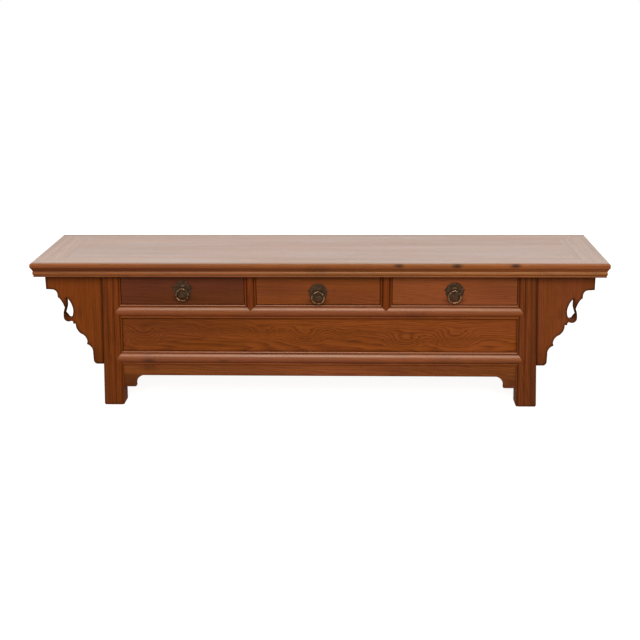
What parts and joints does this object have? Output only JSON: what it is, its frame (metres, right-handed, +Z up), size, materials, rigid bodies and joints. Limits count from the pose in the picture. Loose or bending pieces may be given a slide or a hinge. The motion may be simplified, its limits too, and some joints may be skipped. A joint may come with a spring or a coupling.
{
  "type": "kang table",
  "caption": "Long low Chinese table in lacquered wood with drawers on ring pulls, splayed legs and pierced spandrels under the ends of its framed top.",
  "frame": {"origin": "on the floor under the middle of the top", "axes": "+X to the right along the table's length, +Y to the back, +Z up; the drawers face -Y"},
  "size_m": [1.83, 0.43, 0.489],
  "materials": {
    "lacquered_elm_frame": "satin lacquer",
    "lacquered_elm_panel": "satin lacquer",
    "lacquered_elm_drawer": "satin lacquer",
    "bare_inner_wood": "bare, planed",
    "bronze_plate": "dark patina",
    "brass_ring": "worn, satin"
  },
  "bodies": {
    "carcass": {"back_lower_rail": "lacquered_elm_frame", "back_panel": "lacquered_elm_panel", "back_runner_rail": "bare_inner_wood", "bottom_boards": "bare_inner_wood", "drawer_guides": "bare_inner_wood", "front_apron": "lacquered_elm_frame", "front_lower_rail": "lacquered_elm_frame", "front_panel": "lacquered_elm_panel", "front_upper_rail": "lacquered_elm_frame", "left_back_leg": "lacquered_elm_frame", "left_back_spandrel": "lacquered_elm_frame", "left_divider": "lacquered_elm_frame", "left_end_runner": "bare_inner_wood", "left_front_leg": "lacquered_elm_frame", "left_front_spandrel": "lacquered_elm_frame", "left_middle_runner": "bare_inner_wood", "left_side_lower_rail": "lacquered_elm_frame", "left_side_panel": "lacquered_elm_panel", "left_side_upper_rail": "lacquered_elm_frame", "right_back_leg": "lacquered_elm_frame", "right_back_spandrel": "lacquered_elm_frame", "right_divider": "lacquered_elm_frame", "right_end_runner": "bare_inner_wood", "right_front_leg": "lacquered_elm_frame", "right_front_spandrel": "lacquered_elm_frame", "right_middle_runner": "bare_inner_wood", "right_side_lower_rail": "lacquered_elm_frame", "right_side_panel": "lacquered_elm_panel", "right_side_upper_rail": "lacquered_elm_frame", "top_back_board": "lacquered_elm_panel", "top_back_rail": "lacquered_elm_frame", "top_braces": "bare_inner_wood", "top_front_board": "lacquered_elm_panel", "top_front_rail": "lacquered_elm_frame", "top_left_end": "lacquered_elm_frame", "top_right_end": "lacquered_elm_frame"},
    "left_drawer": {"left_drawer_back": "bare_inner_wood", "left_drawer_bottom": "bare_inner_wood", "left_drawer_front": "lacquered_elm_drawer", "left_drawer_left_side": "bare_inner_wood", "left_drawer_right_side": "bare_inner_wood", "left_pull_eye": "brass_ring", "left_pull_plate": "bronze_plate"},
    "left_ring": {"left_pull_ring": "brass_ring"},
    "centre_drawer": {"centre_drawer_back": "bare_inner_wood", "centre_drawer_bottom": "bare_inner_wood", "centre_drawer_front": "lacquered_elm_drawer", "centre_drawer_left_side": "bare_inner_wood", "centre_drawer_right_side": "bare_inner_wood", "centre_pull_eye": "brass_ring", "centre_pull_plate": "bronze_plate"},
    "centre_ring": {"centre_pull_ring": "brass_ring"},
    "right_drawer": {"right_drawer_back": "bare_inner_wood", "right_drawer_bottom": "bare_inner_wood", "right_drawer_front": "lacquered_elm_drawer", "right_drawer_left_side": "bare_inner_wood", "right_drawer_right_side": "bare_inner_wood", "right_pull_eye": "brass_ring", "right_pull_plate": "bronze_plate"},
    "right_ring": {"right_pull_ring": "brass_ring"}
  },
  "joints": [
    {"name": "left_drawer_slide", "type": "slide", "parent": "carcass", "child": "left_drawer", "axis": [0, -1, 0], "range_m": [0, 0.26]},
    {"name": "left_ring_swing", "type": "hinge", "parent": "left_drawer", "child": "left_ring", "pos_m": [-0.4358, -0.1897, 0.4002], "axis": [-1, 0, 0], "range_deg": [-8, 100]},
    {"name": "centre_drawer_slide", "type": "slide", "parent": "carcass", "child": "centre_drawer", "axis": [0, -1, 0], "range_m": [0, 0.26]},
    {"name": "centre_ring_swing", "type": "hinge", "parent": "centre_drawer", "child": "centre_ring", "pos_m": [0, -0.1897, 0.3907], "axis": [-1, 0, 0], "range_deg": [-8, 100]},
    {"name": "right_drawer_slide", "type": "slide", "parent": "carcass", "child": "right_drawer", "axis": [0, -1, 0], "range_m": [0, 0.26]},
    {"name": "right_ring_swing", "type": "hinge", "parent": "right_drawer", "child": "right_ring", "pos_m": [0.4358, -0.1897, 0.3947], "axis": [-1, 0, 0], "range_deg": [-8, 100]}
  ]
}
